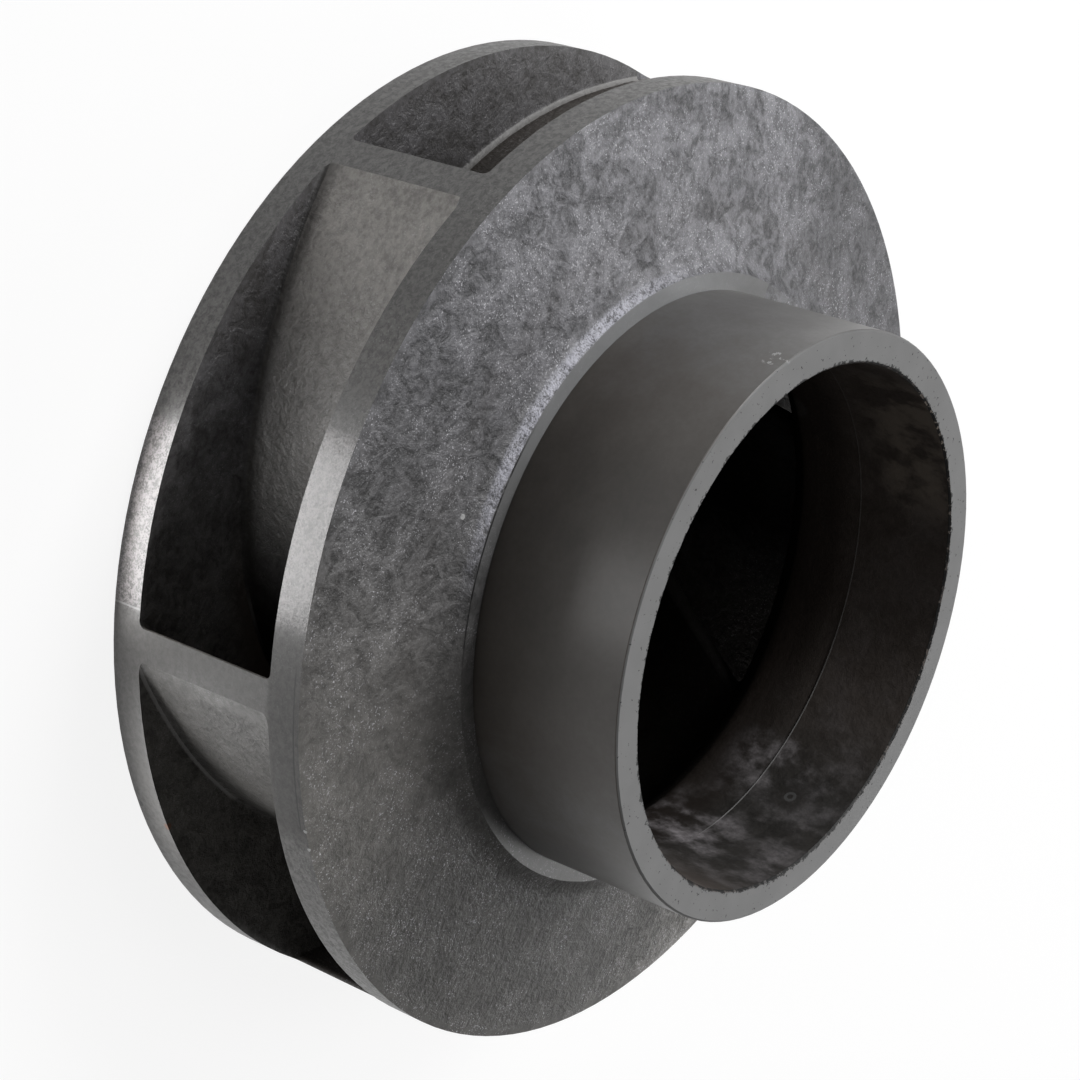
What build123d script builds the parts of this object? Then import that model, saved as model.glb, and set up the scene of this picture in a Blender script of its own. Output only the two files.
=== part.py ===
from build123d import *

import os
from math import atan, cos, exp, pi, radians, sin, tan

# A closed pump impeller, moulded in one piece from glass-filled plastic.
# It stands on the flat back of its rear shroud, with the suction neck pointing up along +Z.
# The origin is the centre of the back face. All sizes are in millimetres.

# Shrouds and rim
outer_diameter = 150.0
rear_shroud_thickness = 5.0
outlet_width = 25.0
front_shroud_thickness = 5.5
front_cone_angle = 9.0
turning_allowance = 4.0

# Suction neck
eye_diameter = 80.5
neck_wall = 5.0
neck_turning_allowance = 1.0
neck_length = 25.5
shoulder_lift = 1.0
shoulder_fillet = 6.0
throat_radius = 6.0
core_step_depth = 16.6
core_step = 0.15
mouth_chamfer = 0.3

# Hub and shaft bore
hub_diameter = 40.0
hub_height = 27.0
hub_nose_radius = 3.0
hub_root_radius = 11.0
shaft_diameter = 22.2
keyway_width = 4.8
keyway_depth = 2.4
bore_chamfer = 0.8
seat_diameter = 48.0
seat_depth = 1.5

# Vanes: the blade angle falls from its outlet value at the rim to its inner value
vane_count = 6
first_vane_angle = -2.4
vane_outlet_angle = 25.0
vane_inner_angle = 16.5
angle_change_sweep = 20.0
vane_tip_thickness = 2.9
vane_nose_thickness = 3.6
vane_nose_clearance = 7.75
vane_nose_lean = 8.5
vane_nose_rounding = 1.6
vane_end_rounding = 0.8
vane_fillet = 1.0
vane_embed = 1.5
face_points = 9

# Radii and heights that follow from the sizes above
outer_radius = outer_diameter / 2
moulded_radius = outer_radius + turning_allowance
eye_radius = eye_diameter / 2
neck_radius = eye_radius + neck_wall
moulded_neck_radius = neck_radius + neck_turning_allowance
hub_radius = hub_diameter / 2
shaft_radius = shaft_diameter / 2
passage_top = rear_shroud_thickness + outlet_width
rim_top = passage_top + front_shroud_thickness
cone_slope = tan(radians(front_cone_angle))


def cone_rise(radius):
    """Height that the front shroud's cone gains from the rim in to a radius."""
    return (outer_radius - radius) * cone_slope


shoulder_height = rim_top + cone_rise(moulded_neck_radius) + shoulder_lift
mouth_height = shoulder_height + neck_length
core_step_height = mouth_height - core_step_depth
lower_bore_radius = eye_radius + core_step


# The outer face of a vane is a spiral in plan, and its inner face lies behind it by the thickness
outlet_slope = tan(radians(vane_outlet_angle))
inner_slope = tan(radians(vane_inner_angle))
change_sweep = radians(angle_change_sweep)


def face_radius(sweep):
    """Radius of a vane's outer face at an angle travelled inward from the rim, in radians."""
    fall = inner_slope * sweep
    fall += (outlet_slope - inner_slope) * change_sweep * (1 - exp(-sweep / change_sweep))
    return outer_radius * exp(-fall)


def face_point(sweep, share, total_sweep):
    """Point between a vane's outer face (share 0) and its inner face (share 1)."""
    slope = inner_slope + (outlet_slope - inner_slope) * exp(-sweep / change_sweep)
    blade_angle = atan(slope)
    thickening = (vane_nose_thickness - vane_tip_thickness) * sweep / total_sweep
    depth = share * (vane_tip_thickness + thickening)
    along = face_radius(sweep) - depth * cos(blade_angle)
    across = -depth * sin(blade_angle)
    place = radians(first_vane_angle) + sweep
    return (
        along * cos(place) - across * sin(place),
        along * sin(place) + across * cos(place),
    )


def sweep_at(radius):
    """Angle travelled inward along the outer face to reach a radius, in radians."""
    low, high = -1.0, 2 * pi
    for _ in range(50):
        middle = (low + high) / 2
        if face_radius(middle) > radius:
            low = middle
        else:
            high = middle
    return middle


tip_sweep = sweep_at(outer_radius + turning_allowance / 2)


def vane_faces(nose_radius):
    """Points along a vane's outer and inner faces in plan, from past the rim to its nose."""
    nose_sweep = sweep_at(nose_radius)
    step = (nose_sweep - tip_sweep) / (face_points - 1)
    sweeps = [tip_sweep + step * i for i in range(face_points)]
    outer_face = [face_point(sweep, 0, nose_sweep) for sweep in sweeps]
    inner_face = [face_point(sweep, 1, nose_sweep) for sweep in sweeps]
    return outer_face, inner_face


# A vane reaches a little way into both shrouds. Its nose stands clear of the eye at the front
# shroud, and leans inward towards the rear one.
vane_low = rear_shroud_thickness - vane_embed
vane_high = passage_top + cone_rise(eye_radius) + vane_embed
front_nose_radius = eye_radius + vane_nose_clearance
vane_ends = (
    (vane_low, front_nose_radius - vane_nose_lean),
    (vane_high, front_nose_radius),
)

with BuildPart() as vane:
    for height, nose_radius in vane_ends:
        outer_face, inner_face = vane_faces(nose_radius)
        with BuildSketch(Plane.XY.offset(height)) as outline:
            with BuildLine():
                Spline(*outer_face)
                Line(outer_face[-1], inner_face[-1])
                Spline(*inner_face)
                Line(inner_face[0], outer_face[0])
            make_face()
            fillet(outline.vertices().sort_by_distance((0, 0))[:2], vane_nose_rounding)
            fillet(outline.vertices().sort_by_distance((0, 0))[-2:], vane_end_rounding)
    loft(ruled=True)
    # Its top is cut to the slope of the front shroud
    with BuildSketch(Plane.XZ):
        with BuildLine():
            Polyline(
                (0, 0),
                (moulded_radius, 0),
                (moulded_radius, passage_top + cone_rise(moulded_radius) + vane_embed),
                (0, passage_top + cone_rise(0) + vane_embed),
                close=True,
            )
        make_face()
    revolve(axis=Axis.Z, mode=Mode.INTERSECT)

with BuildPart() as impeller:
    # Rear shroud and hub
    with BuildSketch(Plane.XZ):
        with BuildLine():
            FilletPolyline(
                (shaft_radius, hub_height),
                (hub_radius, hub_height),
                (hub_radius, rear_shroud_thickness),
                (moulded_radius, rear_shroud_thickness),
                radius=[hub_nose_radius, hub_root_radius],
            )
            Polyline(
                (moulded_radius, rear_shroud_thickness),
                (moulded_radius, 0),
                (shaft_radius, 0),
                (shaft_radius, hub_height),
            )
        make_face()
    revolve(axis=Axis.Z)

    # Front shroud and neck as moulded, with the fine step that the eye's core left in the bore
    with BuildSketch(Plane.XZ):
        with BuildLine():
            FilletPolyline(
                (moulded_radius, rim_top + cone_rise(moulded_radius)),
                (moulded_neck_radius, rim_top + cone_rise(moulded_neck_radius)),
                (moulded_neck_radius, mouth_height),
                radius=shoulder_fillet,
            )
            Polyline(
                (moulded_neck_radius, mouth_height),
                (eye_radius, mouth_height),
                (eye_radius, core_step_height),
                (lower_bore_radius, core_step_height),
            )
            FilletPolyline(
                (lower_bore_radius, core_step_height),
                (lower_bore_radius, passage_top + cone_rise(lower_bore_radius)),
                (moulded_radius, passage_top + cone_rise(moulded_radius)),
                radius=throat_radius,
            )
            Line(
                (moulded_radius, passage_top + cone_rise(moulded_radius)),
                (moulded_radius, rim_top + cone_rise(moulded_radius)),
            )
        make_face()
    revolve(axis=Axis.Z)

    # The vanes, with small fillets where they meet the two shrouds
    with PolarLocations(0, vane_count):
        add(vane.part)
    roots = impeller.edges().filter_by(GeomType.BSPLINE)
    fillet(roots.filter_by_position(Axis.Z, vane_low, rear_shroud_thickness + vane_embed), vane_fillet)
    roots = impeller.edges().filter_by(GeomType.BSPLINE)
    fillet(roots.filter_by_position(Axis.Z, passage_top - vane_embed, vane_high), vane_fillet)

    # The rim and the vane tips are turned to one cylinder
    with BuildSketch(Plane.XY):
        Circle(moulded_radius + 1)
        Circle(outer_radius, mode=Mode.SUBTRACT)
    extrude(amount=mouth_height, mode=Mode.SUBTRACT)

    # The neck is turned down to a square shoulder
    with BuildSketch(Plane.XY.offset(shoulder_height)):
        Circle(outer_radius)
        Circle(neck_radius, mode=Mode.SUBTRACT)
    extrude(amount=neck_length, mode=Mode.SUBTRACT)
    mouth_edges = impeller.edges().filter_by(GeomType.CIRCLE).group_by(Axis.Z)[-1]
    chamfer(mouth_edges, mouth_chamfer)

    # Keyed shaft bore, and the shallow seat turned round it in the back face
    with BuildSketch(Plane.XY):
        Circle(seat_diameter / 2)
    extrude(amount=seat_depth, mode=Mode.SUBTRACT)
    bore_edges = impeller.edges().filter_by(GeomType.CIRCLE)
    bore_edges = bore_edges.filter_by(lambda edge: abs(edge.radius - shaft_radius) < 0.01)
    chamfer(bore_edges, bore_chamfer)
    with BuildSketch(Plane.XY):
        with Locations((0, shaft_radius)):
            Rectangle(keyway_width, 2 * keyway_depth)
    extrude(amount=hub_height, mode=Mode.SUBTRACT)

os.makedirs("parts", exist_ok=True)
impeller.part.label = "impeller"
export_step(impeller.part, "parts/impeller.step")
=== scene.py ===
import math

import bpy
from mathutils import Matrix, Vector


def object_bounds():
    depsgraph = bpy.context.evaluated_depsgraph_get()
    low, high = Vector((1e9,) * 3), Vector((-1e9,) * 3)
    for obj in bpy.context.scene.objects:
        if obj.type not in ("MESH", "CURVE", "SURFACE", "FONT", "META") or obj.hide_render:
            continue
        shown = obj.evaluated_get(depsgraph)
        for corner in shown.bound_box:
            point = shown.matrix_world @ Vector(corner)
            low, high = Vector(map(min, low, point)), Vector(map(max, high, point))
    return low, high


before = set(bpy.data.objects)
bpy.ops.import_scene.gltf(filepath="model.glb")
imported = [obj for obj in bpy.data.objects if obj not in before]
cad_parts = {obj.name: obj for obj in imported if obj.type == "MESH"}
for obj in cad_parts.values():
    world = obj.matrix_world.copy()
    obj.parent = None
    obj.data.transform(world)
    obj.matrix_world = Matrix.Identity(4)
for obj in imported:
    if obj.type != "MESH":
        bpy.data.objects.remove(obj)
loaded_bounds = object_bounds()

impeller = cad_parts["impeller"]

# Sizes that the material is laid out by, in millimetres, from the frame and the part's source
MILLIMETRES = 1000.0
RIM_RADIUS = loaded_bounds[1][0] * MILLIMETRES
MOUTH_HEIGHT = loaded_bounds[1][2] * MILLIMETRES
NECK_LENGTH = 25.5
CORE_STEP_DEPTH = 16.6
SHOULDER_HEIGHT = MOUTH_HEIGHT - NECK_LENGTH
CORE_STEP_HEIGHT = MOUTH_HEIGHT - CORE_STEP_DEPTH
EYE_RADIUS = 40.25
SEAM_RADIUS = 47.66
FOOT_RADIUS = 48.55
OUTLET_BOTTOM = 5.0
OUTLET_TOP = 30.0
OUTLET_MIDDLE = (OUTLET_BOTTOM + OUTLET_TOP) / 2
RIM_TOP = 35.5

# Soft limits: heights of the front shroud's skin, radii of the vanes, and X where the skin turns warmer
CONE_START = (31.0, 33.0)
VANE_START = (50.0, 58.0)
WARM_START = (-30.0, 50.0)

# Angles round the axis, in degrees from +X towards +Y. The camera stands at -90.
POLISHED_HIGHLIGHT_TURN = -83.0
NECK_DARK_TURN = -86.0
FOOT_SHEEN_TURN = -117.0
EYE_LIT_TURN = 38.0
VANE_LIT_FROM = (-140.0, -134.0)
TIP_EDGE_HIGHLIGHT_TURN = -67.45
PARTING_LINE_TURN = -68.25
RIM_LINE_TURN = -59.0

# Places of single marks, in millimetres
EYE_MARK = (25.4, 31.3, 56.7)
DEEP_EYE_MARK = (-33.2, 23.3, 39.0)
NECK_SCUFF = (-34.4, -29.4, 64.4)
RIM_NICK = (55.5, -50.5, 0.3)
RUST_FLECK = (57.3, -48.3, 4.9)

# Thickest smears in the eye: place, size, softness and strength
EYE_SMEARS = (
    ((35.6, 18.8, 47.5), 3.0, 12.0, 0.9),
    ((20.8, 34.5, 51.0), 2.0, 9.0, 0.9),
    ((34.9, 20.1, 64.0), 2.0, 7.0, 0.45),
)

# White chips: place, size and softness
CHIPS = (
    ((48.5, -57.2, 35.3), 0.22, 0.1),
    ((50.9, -55.1, 35.4), 0.22, 0.1),
    ((0.8, -52.0, 39.1), 0.35, 0.15),
    ((-20.5, -24.6, 66.5), 0.2, 0.1),
)

# Colours that lie over the plain plastic; some of them are painted highlights, glints, sheen and shade
FIBRE_GLINT = (0.8, 0.79, 0.84, 1.0)
FOOT_SHEEN = (0.6, 0.6, 0.68, 1.0)
SHADE_BROWN = (0.03, 0.025, 0.02, 1.0)
SMEAR_PALE = (0.42, 0.395, 0.41, 1.0)
STAIN_BROWN = (0.36, 0.31, 0.26, 1.0)
SPECKLE_HIGHLIGHT = (0.42, 0.385, 0.39, 1.0)
ROOT_HIGHLIGHT = (0.408, 0.4, 0.392, 1.0)
ROOT_SHADE = (0.0324, 0.03, 0.0276, 1.0)
RUST_BROWN = (0.22, 0.085, 0.035, 1.0)

# Depth of the skin's fine relief, in metres
RELIEF_DEPTH = 0.0006

# Facets that meet at less than these angles, in degrees, are shaded smooth
SMOOTH_ANGLE = 24
RIM_SMOOTH_ANGLE = 10

# Camera, with its place in metres, and the shift of its centre in the photograph's pixels
PHOTO_SIZE = 1080
SENSOR_WIDTH = 36.0
LENS = 97.53
CENTRE_SHIFT = (1.15, 3.97)
CAMERA_PLACE = (0.00087, -0.37703, 0.27510)
CAMERA_RIGHT = (-0.33007, 0.53328, 0.77888)
CAMERA_UP = (-0.94394, -0.18647, -0.27235)

# Floor and lamps, in metres, and how strongly the floor shows white
FLOOR_REACH = 3.0
FLOOR_DROP = 0.0002
FLOOR_GLOW = 1.06
FLOOR_GLOW_SHARE = 0.82
WORLD_LIGHT = 0.1
SOFT_LAMP_SIZE = 0.35
SOFT_LAMP_DISTANCE = 0.9
SOFT_LAMP_AIM = 0.03
LOW_LAMP_HEIGHT = 0.0006


# Smooth shading between the faces of the solid, with its edges kept crisp

def smooth_by_angle(obj, degrees, rim_degrees):
    """Joins the solid's facets and shades them smooth below an angle, a smaller one at the rim."""
    weld = obj.modifiers.new("join_facets", "WELD")
    weld.merge_threshold = 1e-6
    group = bpy.data.node_groups.new("shade_by_angle", "GeometryNodeTree")
    group.interface.new_socket("Geometry", in_out="INPUT", socket_type="NodeSocketGeometry")
    group.interface.new_socket("Geometry", in_out="OUTPUT", socket_type="NodeSocketGeometry")
    nodes, links = group.nodes, group.links
    entry = nodes.new("NodeGroupInput")
    leave = nodes.new("NodeGroupOutput")

    # The limit is the angle for the whole part, and changes to the rim's own angle at the rim
    place = nodes.new("GeometryNodeInputPosition")
    flat = nodes.new("ShaderNodeVectorMath")
    flat.operation = "MULTIPLY"
    flat.inputs[1].default_value = (1.0, 1.0, 0.0)
    radius = nodes.new("ShaderNodeVectorMath")
    radius.operation = "LENGTH"
    at_rim = nodes.new("ShaderNodeMath")
    at_rim.operation = "GREATER_THAN"
    at_rim.inputs[1].default_value = (RIM_RADIUS - 0.2) / MILLIMETRES
    limit = nodes.new("ShaderNodeMath")
    limit.operation = "MULTIPLY_ADD"
    limit.inputs[1].default_value = math.radians(rim_degrees - degrees)
    limit.inputs[2].default_value = math.radians(degrees)
    links.new(place.outputs[0], flat.inputs[0])
    links.new(flat.outputs["Vector"], radius.inputs[0])
    links.new(radius.outputs["Value"], at_rim.inputs[0])
    links.new(at_rim.outputs[0], limit.inputs[0])

    angle = nodes.new("GeometryNodeInputMeshEdgeAngle")
    below = nodes.new("FunctionNodeCompare")
    below.data_type = "FLOAT"
    below.operation = "LESS_THAN"
    links.new(angle.outputs["Unsigned Angle"], below.inputs[0])
    links.new(limit.outputs[0], below.inputs[1])

    faces = nodes.new("GeometryNodeSetShadeSmooth")
    faces.domain = "FACE"
    edges = nodes.new("GeometryNodeSetShadeSmooth")
    edges.domain = "EDGE"
    links.new(entry.outputs[0], faces.inputs["Geometry"])
    links.new(faces.outputs[0], edges.inputs["Geometry"])
    links.new(below.outputs[0], edges.inputs["Shade Smooth"])
    links.new(edges.outputs[0], leave.inputs[0])
    obj.modifiers.new("shade_by_angle", "NODES").node_group = group


smooth_by_angle(impeller, SMOOTH_ANGLE, RIM_SMOOTH_ANGLE)


# Material helpers

class Graph:
    """A short way of writing shader nodes. Every value is a socket or a number."""

    def __init__(self, tree):
        self.tree = tree

    def node(self, kind, **settings):
        made = self.tree.nodes.new(kind)
        for name, value in settings.items():
            setattr(made, name, value)
        return made

    def feed(self, socket, value):
        """Links a socket to another, or sets its constant."""
        if isinstance(value, bpy.types.NodeSocket):
            self.tree.links.new(value, socket)
        else:
            socket.default_value = value

    def math(self, operation, a, b=0.0, c=0.0):
        made = self.node("ShaderNodeMath", operation=operation)
        for socket, value in zip(made.inputs, (a, b, c)):
            self.feed(socket, value)
        return made.outputs[0]

    def times(self, *values):
        """Product of several values."""
        total = values[0]
        for value in values[1:]:
            total = self.math("MULTIPLY", total, value)
        return total

    def most(self, *values):
        """The largest of several values."""
        top = values[0]
        for value in values[1:]:
            top = self.math("MAXIMUM", top, value)
        return top

    def weighted(self, *parts):
        """Sum of values, each times its weight."""
        total = 0.0
        for value, weight in parts:
            total = self.math("MULTIPLY_ADD", value, weight, total)
        return total

    def ramp(self, value, low, high, start=0.0, end=1.0):
        """start below low, end above high, and a smooth step between."""
        made = self.node("ShaderNodeMapRange", interpolation_type="SMOOTHSTEP")
        for socket, number in zip(made.inputs, (value, low, high, start, end)):
            self.feed(socket, number)
        return made.outputs[0]

    def fall(self, value, low, high):
        """1 below low and 0 above high."""
        return self.ramp(value, low, high, 1.0, 0.0)

    def band(self, value, centre, half, soft):
        """1 within half of centre, falling to 0 over soft."""
        away = self.math("ABSOLUTE", self.math("SUBTRACT", value, centre))
        return self.fall(away, half, half + soft)

    def blend(self, share, a, b):
        """Number between a and b."""
        made = self.node("ShaderNodeMix", data_type="FLOAT")
        for socket, value in zip((made.inputs[0], made.inputs[2], made.inputs[3]), (share, a, b)):
            self.feed(socket, value)
        return made.outputs[0]

    def mix(self, share, a, b):
        """Colour between a and b."""
        made = self.node("ShaderNodeMix", data_type="RGBA")
        for socket, value in zip((made.inputs[0], made.inputs[6], made.inputs[7]), (share, a, b)):
            self.feed(socket, value)
        return made.outputs[2]

    def paint(self, base, colour, strength, *masks):
        """base with a colour laid over it, where all the masks are 1, at a strength."""
        return self.mix(self.times(*masks, strength), base, colour)

    def noise(self, place, scale, detail, rough=0.5, warp=0.0, output="Fac"):
        made = self.node("ShaderNodeTexNoise")
        self.feed(made.inputs["Vector"], place)
        made.inputs["Scale"].default_value = scale
        made.inputs["Detail"].default_value = detail
        made.inputs["Roughness"].default_value = rough
        made.inputs["Distortion"].default_value = warp
        return made.outputs[output]

    def vector(self, operation, a, b):
        made = self.node("ShaderNodeVectorMath", operation=operation)
        self.feed(made.inputs[0], a)
        self.feed(made.inputs[1], b)
        return made.outputs["Vector"]

    def split(self, vector):
        made = self.node("ShaderNodeSeparateXYZ")
        self.feed(made.inputs[0], vector)
        return made.outputs

    def join(self, x, y, z):
        made = self.node("ShaderNodeCombineXYZ")
        for socket, value in zip(made.inputs, (x, y, z)):
            self.feed(socket, value)
        return made.outputs[0]

    def distance(self, place, centre):
        made = self.node("ShaderNodeVectorMath", operation="DISTANCE")
        self.feed(made.inputs[0], place)
        made.inputs[1].default_value = centre
        return made.outputs["Value"]

    def spot(self, place, centre, size, soft):
        """1 within size of centre, falling to 0 over soft."""
        return self.fall(self.distance(place, centre), size, size + soft)


def grey(value, warm=0.0):
    """A grey, with a little more red and less blue where warm is above 0."""
    return (value * (1 + warm), value, value * (1 - warm), 1.0)


class Plastic:
    """Dark glass-filled plastic, mottled where it was moulded and even where it was turned, with light
    and shade painted into its colour in places.
    """

    def __init__(self, tree):
        self.g = Graph(tree)
        self.find_place()
        self.find_zones()
        self.find_flow_marks()

    def find_place(self):
        """Place in millimetres, degrees round the axis, the way the surface faces, and plain noises."""
        g = self.g
        coords = g.node("ShaderNodeTexCoord")
        self.place = g.vector("MULTIPLY", coords.outputs["Object"], (MILLIMETRES,) * 3)
        self.x, y, self.z = g.split(self.place)
        nx, ny, self.nz = g.split(g.node("ShaderNodeNewGeometry").outputs["Normal"])
        self.radius = g.math("SQRT", g.math("ADD", g.times(self.x, self.x), g.times(y, y)))
        radians = g.math("ARCTAN2", y, self.x)
        self.turn = g.times(radians, 180 / math.pi)
        self.outward = g.math("ADD", g.times(nx, self.x), g.times(ny, y))
        self.crinkle = g.noise(g.vector("MULTIPLY", self.place, (0.9, 1.0, 1.0)), 1.0, 3.0, 0.68)
        self.grain = g.noise(self.place, 3.4, 2.0, 0.6)
        self.flakes = g.weighted((self.crinkle, 0.5), (self.grain, 0.5))
        self.cloud = g.noise(self.place, 0.12, 2.0, 0.6)
        unrolled = g.join(g.times(radians, RIM_RADIUS, 0.9), g.times(self.z, 1.1), self.radius)
        self.worn = g.noise(unrolled, 1.0, 4.0, 0.72, 0.5)

    def find_zones(self):
        """Masks that are 1 on one part of the surface, such as the rim or the neck."""
        g, z, radius, turn = self.g, self.z, self.radius, self.turn
        edge = g.math("ADD", radius, g.times(self.crinkle, 0.5))
        self.rim = g.times(g.ramp(edge, RIM_RADIUS - 0.1, RIM_RADIUS + 0.05),
                           g.ramp(g.math("DIVIDE", self.outward, radius), 0.93, 0.97))
        outside = g.ramp(radius, EYE_RADIUS + 0.2, EYE_RADIUS + 0.3)
        self.neck = g.times(g.ramp(z, SHOULDER_HEIGHT - 0.03, SHOULDER_HEIGHT - 0.01), outside)
        self.mouth = g.times(g.ramp(z, MOUTH_HEIGHT - 0.25, MOUTH_HEIGHT - 0.15), outside)
        self.ledge = g.times(self.neck, g.fall(z, SHOULDER_HEIGHT + 0.05, SHOULDER_HEIGHT + 0.1))
        self.turned = g.most(self.rim, self.neck)
        self.bore = g.times(g.ramp(z, OUTLET_TOP, 34.0),
                            g.fall(radius, EYE_RADIUS + 0.3, EYE_RADIUS + 0.6))
        throat = g.times(g.fall(radius, 44.9, 45.1), g.fall(z, 41.0, 43.0))
        self.deep = g.most(g.times(g.fall(radius, 50.0, 60.0), g.fall(z, 37.0, 39.0)), throat)
        self.cone = g.ramp(z, *CONE_START)
        upright = g.fall(g.math("ABSOLUTE", self.nz), 0.35, 0.55)
        self.vane = g.times(g.band(z, 20.0, 15.0, 0.5), upright, g.ramp(radius, *VANE_START))
        # Outer vane faces that carry painted light
        self.lit_vane_paint = g.times(self.vane, g.ramp(self.outward, 0.0, 5.0),
                                   g.ramp(turn, *VANE_LIT_FROM),
                                   g.ramp(radius, 72.0, RIM_RADIUS, 1.0, 0.7))
        facing_away = g.most(g.fall(self.outward, -5.0, 0.0), g.fall(turn, *VANE_LIT_FROM))
        self.shady_vane = g.times(self.vane, facing_away)
        # Polished band of the rims, which also carries a painted highlight; it sits a little further
        # round on the rear rim
        rear_rim_shift = g.ramp(z, 10.0, 20.0, 4.5, 0.0)
        self.polished_and_highlit = g.band(g.math("SUBTRACT", turn, rear_rim_shift), POLISHED_HIGHLIGHT_TURN, 9.5, 1.5)
        self.dull = g.times(g.band(turn, -60.0, 10.5, 3.0), g.ramp(z, OUTLET_TOP - 1.0, OUTLET_TOP))

    def find_flow_marks(self):
        """Flow marks of the moulded skin: soft patches, short strokes, creases, and fibre specks painted
        as glints.
        """
        g = self.g
        bend = g.noise(self.place, 0.06, 1.0, output="Color")
        bend = g.vector("MULTIPLY", g.vector("SUBTRACT", bend, (0.5, 0.5, 0.5)), (5.0, 5.0, 5.0))
        drift = g.vector("ADD", self.place, bend)
        patches = g.noise(drift, 0.11, 4.0, 0.6, 0.5)
        self.strokes = g.noise(g.vector("MULTIPLY", drift, (1.0, 0.85, 1.0)), 0.36, 4.0, 0.62, 0.9)
        creases = g.math("ABSOLUTE", g.math("SUBTRACT", g.noise(drift, 0.7, 3.0, 0.6), 0.5))
        creases = g.ramp(creases, 0.0, 0.04)
        # Painted highlights: pale glass-fibre specks painted brighter as glints, in clusters, fainter
        # towards the rear shroud
        self.glint = g.times(g.ramp(self.grain, 0.6, 0.68), g.ramp(patches, 0.42, 0.6, 0.15, 1.0),
                             g.ramp(self.z, 4.5, 33.0, 0.35, 1.0))
        self.calm = g.times(g.band(self.turn, -20.0, 36.0, 25.0), g.ramp(self.z, *CONE_START, 0.0, 0.45))
        tone = g.weighted((g.ramp(patches, 0.43, 0.57), 0.24), (g.ramp(self.strokes, 0.42, 0.58), 0.34),
                          (g.ramp(self.crinkle, 0.38, 0.62), 0.24),
                          (g.ramp(self.grain, 0.36, 0.64), 0.1), (creases, 0.08))
        self.tone = g.blend(self.calm, tone, 0.5)

    def moulded_skin(self):
        """Mottled skin of the shrouds and vanes, with painted shade on the passage floor, on the vane
        sides that face away from the light and deep in the eye, and painted light on the lit outer faces
        of the vanes.
        """
        g, z, turn = self.g, self.z, self.turn
        cool = g.mix(self.tone, (0.024, 0.024, 0.026, 1.0), (0.29, 0.288, 0.31, 1.0))
        warm = g.mix(self.tone, (0.046, 0.043, 0.039, 1.0), (0.26, 0.25, 0.233, 1.0))
        skin = g.mix(g.most(g.ramp(self.x, *WARM_START), self.vane), cool, warm)
        # Painted shade on the floor of the passages, stronger at turns below -105 degrees
        passage_floor_shade = g.times(g.fall(z, OUTLET_BOTTOM + 1.0, OUTLET_BOTTOM + 2.0),
                                g.ramp(turn, -105.0, -92.0, 0.62, 0.3))
        skin = g.mix(passage_floor_shade, skin, SHADE_BROWN)
        # Painted shade on the vane faces that face away from the lamps
        skin = g.paint(skin, (0.045, 0.036, 0.03, 1.0), 0.8, self.shady_vane)
        # The front face is darker in broad bands round the axis, at about -100, 0 and 148 degrees
        darker_bands = g.most(g.times(g.band(turn, -100.0, 12.0, 22.0), 0.6), g.band(turn, 0.0, 22.0, 30.0),
                       g.band(turn, 148.0, 12.0, 25.0))
        skin = g.paint(skin, grey(0.02), 0.42, darker_bands, self.cone)
        # Painted glints of the glass fibres
        skin = g.paint(skin, FIBRE_GLINT, 0.7, self.glint)

        # Painted light: the lit outer faces of the vanes are painted pale, less so from one vane to the
        # next
        painted_vane_light = g.mix(g.ramp(turn, -117.0, -96.0), (0.6, 0.57, 0.54, 1.0), (0.23, 0.218, 0.207, 1.0))
        painted_vane_light = g.mix(g.ramp(turn, -76.0, -66.0), painted_vane_light, (0.105, 0.1, 0.095, 1.0))
        painted_vane_light = g.mix(g.ramp(self.crinkle, 0.3, 0.7, 0.45, 0.0), painted_vane_light, skin)
        skin = g.paint(skin, painted_vane_light, 0.68, self.lit_vane_paint)

        # Painted shade deep inside the eye: near black, with a dark brown only on the surfaces that face
        # the mouth
        shaded = g.mix(g.ramp(self.nz, 0.93, 0.99), (0.006, 0.005, 0.004, 1.0), (0.09, 0.072, 0.06, 1.0))
        return g.paint(skin, shaded, 0.97, self.deep)

    def eye_wall(self):
        """Dark wall of the eye, with painted shade on its lit side and towards its bottom, smears round
        a small mark, and a fine line at the core's end.
        """
        g, place, z, turn = self.g, self.place, self.z, self.turn
        clouds = g.noise(g.vector("MULTIPLY", place, (0.9, 1.0, 0.7)), 0.2, 4.0, 0.6)
        lit_side = g.band(turn, EYE_LIT_TURN, 14.0, 34.0)
        wall = g.mix(self.tone, (0.09, 0.075, 0.066, 1.0), (0.14, 0.12, 0.108, 1.0))
        # Painted shade: the wall is darker on the side the lamps light most, and darker still towards
        # the bottom of the eye
        wall = g.mix(lit_side, wall, g.mix(self.tone, grey(0.026, 0.06), grey(0.06, 0.06)))
        wall = g.mix(g.ramp(z, 44.0, 51.0, 0.7, 0.0), wall, (0.022, 0.016, 0.013, 1.0))

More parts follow.
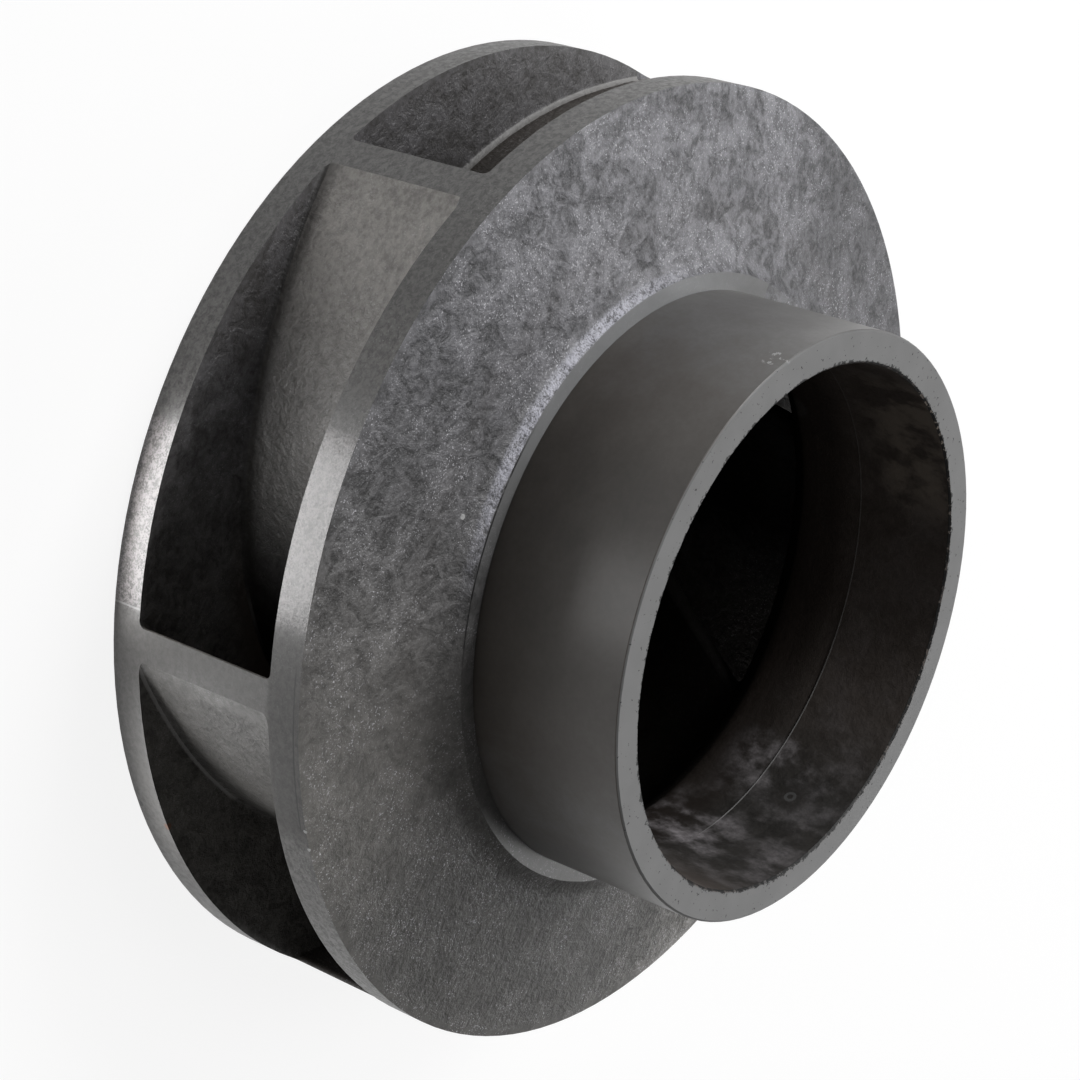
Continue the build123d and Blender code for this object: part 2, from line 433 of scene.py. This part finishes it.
        spots = [g.times(g.spot(place, centre, size, soft), strength)
                 for centre, size, soft, strength in EYE_SMEARS]
        smeared = g.most(g.times(lit_side, g.ramp(z, 40.0, 48.0), 0.32), *spots,
                         g.times(g.ramp(z, 42.0, 56.0), 0.13))
        wall = g.paint(wall, SMEAR_PALE, g.ramp(clouds, 0.4, 0.68),
                       g.ramp(self.crinkle, 0.25, 0.75, 0.45, 1.0), smeared)
        wall = g.paint(wall, STAIN_BROWN, 0.7, g.band(turn, 147.0, 13.0, 14.0), g.ramp(z, 50.0, 58.0),
                       g.ramp(clouds, 0.4, 0.6))
        wall = g.paint(wall, grey(0.5), 0.6, g.band(z, CORE_STEP_HEIGHT + 0.08, 0.1, 0.06),
                       g.ramp(turn, 24.0, 40.0), g.ramp(turn, 62.0, 150.0, 1.0, 0.3))

        from_mark = g.distance(place, EYE_MARK)
        wall = g.paint(wall, grey(0.03, 0.1), 0.75, g.fall(from_mark, 1.5, 4.5))
        wall = g.paint(wall, grey(0.15), 0.6, g.band(from_mark, 0.75, 0.15, 0.2))
        return g.paint(wall, grey(0.1), 0.5, g.spot(place, DEEP_EYE_MARK, 1.6, 1.0))

    def foot_and_roots(self, skin):
        """Painted sheen at the foot of the neck, painted highlights along some of the vanes' rear root
        fillets, and painted shade along others.
        """
        g, z, turn, radius = self.g, self.z, self.turn, self.radius
        foot = g.math("ADD", radius, g.times(g.math("SUBTRACT", self.crinkle, 0.5), 1.6))
        # Painted sheen: a pale granular strip at the foot of the neck, round -117 degrees
        skin = g.paint(skin, FOOT_SHEEN, 0.9, g.band(foot, FOOT_RADIUS, 0.3, 0.9),
                       g.ramp(z, 38.0, 39.0), g.band(turn, FOOT_SHEEN_TURN, 12.0, 34.0),
                       g.ramp(self.flakes, 0.4, 0.56, 0.15, 1.0))
        above_floor = g.math("SUBTRACT", z, OUTLET_BOTTOM)
        # Painted highlight along the root fillets of the vanes in the upper passage
        skin = g.paint(skin, ROOT_HIGHLIGHT, 0.7, g.band(above_floor, 0.5, 0.4, 0.2),
                       g.band(self.nz, 0.55, 0.3, 0.1), g.ramp(radius, *VANE_START),
                       g.fall(turn, -148.0, -138.0))
        # Painted shade along the vane roots between about -134 and -66 degrees
        skin = g.paint(skin, ROOT_SHADE, 0.6, g.band(above_floor, 0.5, 0.5, 2.5),
                       g.band(self.nz, 0.4, 0.4, 0.2), g.band(turn, -100.0, 34.0, 4.0))
        # Painted highlight along a vane root near -50 degrees
        return g.paint(skin, ROOT_HIGHLIGHT, 0.7, g.band(above_floor, 0.16, 0.08, 0.07),
                       g.band(turn, -50.0, 12.0, 6.0), g.ramp(radius, 50.0, 56.0))

    def turned_neck(self, skin):
        """Grey of the neck with painted shade, darkest and warmest where it faces the camera and paler
        round the sides, with a matt mouth and ledge.
        """
        g, turn = self.g, self.turn
        # Painted shade: the neck is darkest and warmest at the turn that faces the camera, and paler
        # round the sides
        from_dark = g.math("ABSOLUTE", g.math("SUBTRACT", turn, NECK_DARK_TURN))
        shade = g.times(g.ramp(from_dark, 12.0, 75.0, 0.056, 0.142),
                        g.ramp(self.cloud, 0.3, 0.7, 0.88, 1.12),
                        g.ramp(self.crinkle, 0.3, 0.7, 0.92, 1.08))
        red = g.times(shade, g.ramp(shade, 0.05, 0.14, 1.16, 1.03))
        blue = g.times(shade, g.ramp(shade, 0.05, 0.14, 0.86, 0.98))
        neck = g.join(red, shade, blue)
        matt = g.mix(g.ramp(self.cloud, 0.3, 0.7), grey(0.165), grey(0.185))
        # Painted light on the ledge round -133 degrees, and painted shade beyond -95 degrees, where the
        # ledge takes on the darker skin
        matt = g.paint(matt, grey(0.3, -0.02), 0.55, self.ledge, g.band(turn, -133.0, 18.0, 26.0))
        matt = g.mix(g.times(self.ledge, g.ramp(turn, -95.0, -70.0, 0.1, 0.75)), matt, skin)
        return g.mix(g.most(self.mouth, self.ledge), neck, matt)

    def turned_rim(self):
        """Worn rim: scuffed grey, paler low down beside a vane tip, darker at turns below -100 degrees,
        with painted glints, pale speckle as a painted highlight where polished, and a painted highlight
        along one vane tip's edge.
        """
        g, z, turn = self.g, self.z, self.turn
        scuffed = g.mix(g.ramp(self.worn, 0.37, 0.63), grey(0.05, 0.05), grey(0.14, 0.04))
        scuffed = g.paint(scuffed, grey(0.22, 0.03), 0.28, g.ramp(self.flakes, 0.42, 0.62))
        # Painted glints of the glass fibres on the rim
        scuffed = g.paint(scuffed, grey(0.5), 0.3, self.glint)
        scuffed = g.paint(scuffed, grey(0.035, 0.05), 0.5, self.dull)
        scuffed = g.mix(g.ramp(turn, -112.0, -100.0, 0.36, 0.0), scuffed, grey(0.02))
        scuffed = g.paint(scuffed, grey(0.24, 0.03), 0.42, g.ramp(turn, -69.0, -66.0),
                          g.fall(z, OUTLET_TOP - 1.0, OUTLET_TOP + 0.5))
        # Painted highlight: pale speckle on the polished band of both rims
        scuffed = g.paint(scuffed, SPECKLE_HIGHLIGHT, 0.6, self.polished_and_highlit,
                          g.ramp(self.flakes, 0.42, 0.58, 0.1, 1.0))
        # Painted highlight: a pale line along the edge of one vane tip
        return g.paint(scuffed, grey(0.45, 0.02), 0.8, g.band(turn, TIP_EDGE_HIGHLIGHT_TURN, 0.2, 0.1),
                       g.band(z, OUTLET_MIDDLE, 11.8, 0.4))

    def small_marks(self, colour):
        """Dark seam, line, pits and nick, a pale parting line, scuff and chips, and a rusty fleck."""
        g, place, z, turn, radius = self.g, self.place, self.z, self.turn, self.radius
        seam = g.times(g.band(radius, SEAM_RADIUS, 0.13, 0.1), g.band(z, SHOULDER_HEIGHT, 0.3, 0.2),
                       g.band(turn, NECK_DARK_TURN, 12.0, 14.0), g.ramp(self.strokes, 0.3, 0.5, 0.3))
        rim_line = g.times(g.band(z, RIM_TOP - 0.95, 0.08, 0.08),
                           g.band(turn, RIM_LINE_TURN, 8.5, 2.0), self.rim)
        pits = g.times(g.ramp(g.noise(place, 1.9, 1.0), 0.725, 0.74), self.mouth)
        ragged = g.math("ADD", g.times(self.crinkle, 3.4), EYE_RADIUS - 1.4)
        lip = g.times(g.math("LESS_THAN", radius, ragged),
                      g.ramp(z, MOUTH_HEIGHT - 0.4, MOUTH_HEIGHT - 0.3))
        nick = g.spot(place, RIM_NICK, 0.5, 0.3)
        dark = g.most(g.times(seam, 0.9), g.times(rim_line, 0.9), pits, lip, nick)
        colour = g.mix(dark, colour, grey(0.012))

        parting_line = g.times(g.band(turn, PARTING_LINE_TURN, 0.07, 0.08),
                               g.fall(z, OUTLET_BOTTOM + 0.2, OUTLET_BOTTOM + 0.4), self.rim)
        scuff = g.times(g.spot(place, NECK_SCUFF, 1.6, 0.8), g.ramp(self.crinkle, 0.58, 0.64))
        chips = g.most(*(g.spot(place, *chip) for chip in CHIPS))
        pale = g.most(g.times(parting_line, 0.5), g.times(scuff, 0.7), chips)
        colour = g.mix(g.times(pale, g.ramp(radius, EYE_RADIUS - 0.5, EYE_RADIUS)), colour, grey(0.5))
        return g.paint(colour, RUST_BROWN, 0.8, g.spot(place, RUST_FLECK, 0.45, 0.35))

    def roughness(self):
        """Roughness of the moulded skin, the dull and polished rim, the neck and the mouth."""
        g = self.g
        moulded = g.blend(self.tone, 0.6, 0.44)
        rim = g.blend(self.dull, g.ramp(self.worn, 0.3, 0.7, 0.5, 0.36), 0.6)
        rim = g.blend(self.polished_and_highlit, rim, 0.32)
        turned = g.blend(self.mouth, g.blend(self.rim, 0.38, rim), 0.6)
        return g.blend(self.turned, moulded, turned)

    def shine(self):
        """Strength of reflections, which are weak deep inside the eye."""
        return self.g.ramp(self.g.most(self.deep, self.g.times(self.bore, 0.6)), 0.0, 1.0, 0.5, 0.05)

    def relief(self):
        """Fine relief of the moulded skin, fading out before the rim and almost none where turned."""
        g = self.g
        strength = g.blend(self.calm, g.blend(g.most(self.bore, self.deep), 1.0, 0.25), 0.0)
        strength = g.times(strength, g.ramp(self.radius, 73.0, 74.5, 0.7, 0.0))
        bump = g.node("ShaderNodeBump")
        bump.inputs["Distance"].default_value = RELIEF_DEPTH
        g.feed(bump.inputs["Strength"], g.blend(self.turned, strength, g.times(self.rim, 0.08)))
        g.feed(bump.inputs["Height"], g.weighted((self.strokes, 0.9), (self.crinkle, 0.8)))
        return bump.outputs[0]

    def colour(self):
        """Colour of the whole surface: the moulded skin, the turned surfaces over it, then the marks."""
        g = self.g
        skin = g.mix(self.bore, self.moulded_skin(), self.eye_wall())
        skin = self.foot_and_roots(skin)
        turned = g.mix(self.rim, self.turned_neck(skin), self.turned_rim())
        return self.small_marks(g.mix(self.turned, skin, turned))


def plastic_material():
    material = bpy.data.materials.new("moulded_plastic")
    material.use_nodes = True
    plastic = Plastic(material.node_tree)
    shader = material.node_tree.nodes["Principled BSDF"]
    shader.inputs["IOR"].default_value = 1.6
    plastic.g.feed(shader.inputs["Base Color"], plastic.colour())
    plastic.g.feed(shader.inputs["Roughness"], plastic.roughness())
    plastic.g.feed(shader.inputs["Specular IOR Level"], plastic.shine())
    plastic.g.feed(shader.inputs["Normal"], plastic.relief())
    return material


impeller.data.materials.clear()
impeller.data.materials.append(plastic_material())


# Camera at the photograph's viewing angle

def add_camera():
    data = bpy.data.cameras.new("camera")
    data.sensor_width = SENSOR_WIDTH
    data.lens = LENS
    data.shift_x, data.shift_y = (pixels / PHOTO_SIZE for pixels in CENTRE_SHIFT)
    data.clip_start = 0.01
    data.clip_end = 20.0
    camera = bpy.data.objects.new("camera", data)
    right, up = Vector(CAMERA_RIGHT), Vector(CAMERA_UP)
    turn = Matrix((right, up, right.cross(up))).transposed()
    camera.matrix_world = Matrix.Translation(CAMERA_PLACE) @ turn.to_4x4()
    bpy.context.scene.collection.objects.link(camera)
    bpy.context.scene.camera = camera


add_camera()


# Floor that shows white and keeps the object's shadow

def add_floor():
    mesh = bpy.data.meshes.new("floor")
    signs = [(-1, -1), (1, -1), (1, 1), (-1, 1)]
    corners = [(sx * FLOOR_REACH, sy * FLOOR_REACH, -FLOOR_DROP) for sx, sy in signs]
    mesh.from_pydata(corners, [], [(0, 1, 2, 3)])
    floor = bpy.data.objects.new("floor", mesh)
    bpy.context.scene.collection.objects.link(floor)
    material = bpy.data.materials.new("floor")
    material.use_nodes = True
    tree = material.node_tree
    g = Graph(tree)
    shader = tree.nodes["Principled BSDF"]
    shader.inputs["Base Color"].default_value = grey(0.85)
    shader.inputs["Roughness"].default_value = 0.8
    path = g.node("ShaderNodeLightPath")
    glow = g.node("ShaderNodeEmission")
    glow.inputs["Strength"].default_value = FLOOR_GLOW
    seen = g.most(path.outputs["Is Camera Ray"], path.outputs["Is Glossy Ray"],
                  path.outputs["Is Transmission Ray"])
    mixed = g.node("ShaderNodeMixShader")
    g.feed(mixed.inputs[0], g.times(seen, FLOOR_GLOW_SHARE))
    g.feed(mixed.inputs[1], shader.outputs[0])
    g.feed(mixed.inputs[2], glow.outputs[0])
    g.feed(tree.nodes["Material Output"].inputs["Surface"], mixed.outputs[0])
    mesh.materials.append(material)


add_floor()


# Light

def add_world():
    """A faint even light that the camera sees as white."""
    world = bpy.data.worlds.new("world")
    bpy.context.scene.world = world
    world.use_nodes = True
    tree = world.node_tree
    g = Graph(tree)
    background = tree.nodes["Background"]
    background.inputs["Color"].default_value = grey(1.0)
    path = g.node("ShaderNodeLightPath")
    seen = g.most(path.outputs["Is Camera Ray"], path.outputs["Is Transmission Ray"])
    g.feed(background.inputs["Strength"], g.blend(seen, WORLD_LIGHT, 1.0))


def new_lamp(name, power, length, width):
    """An area lamp, with its size in metres and its power in watts."""
    data = bpy.data.lights.new(name, "AREA")
    data.shape = "RECTANGLE"
    data.size, data.size_y = length, width
    data.energy = power
    lamp = bpy.data.objects.new(name, data)
    bpy.context.scene.collection.objects.link(lamp)
    return lamp


def add_soft_lamp(name, azimuth, elevation, power):
    """A soft square lamp, aimed at the middle of the impeller. Azimuth is from +X towards +Y."""
    lamp = new_lamp(name, power, SOFT_LAMP_SIZE, SOFT_LAMP_SIZE)
    turn, rise = math.radians(azimuth), math.radians(elevation)
    way = Vector((math.cos(turn) * math.cos(rise), math.sin(turn) * math.cos(rise), math.sin(rise)))
    lamp.location = Vector((0, 0, SOFT_LAMP_AIM)) + way * SOFT_LAMP_DISTANCE
    lamp.rotation_euler = way.to_track_quat("Z", "Y").to_euler()


def add_low_lamp(name, azimuth, inner, outer, width, power, sheen_only=False):
    """A small lamp that lies on the floor beside the rim and shines up into the passages."""
    lamp = new_lamp(name, power, outer - inner, width)
    lamp.visible_camera = False
    lamp.visible_diffuse = not sheen_only
    turn = math.radians(azimuth)
    middle = (inner + outer) / 2
    lamp.location = (math.cos(turn) * middle, math.sin(turn) * middle, LOW_LAMP_HEIGHT)
    lamp.rotation_euler = (math.pi, 0, turn)


add_world()
add_soft_lamp("key", azimuth=180, elevation=46, power=4.3)
add_soft_lamp("over", azimuth=180, elevation=75, power=1.7)
add_soft_lamp("back", azimuth=120, elevation=34, power=1.3)
add_soft_lamp("right", azimuth=80, elevation=24, power=1.2)
add_low_lamp("sheen", azimuth=-80, inner=0.094, outer=0.128, width=0.052, power=0.042, sheen_only=True)
add_low_lamp("low_left", azimuth=-78, inner=0.077, outer=0.083, width=0.034, power=0.0042)
add_low_lamp("low_right", azimuth=-45, inner=0.080, outer=0.090, width=0.035, power=0.004)

bpy.context.scene.view_settings.view_transform = "Standard"
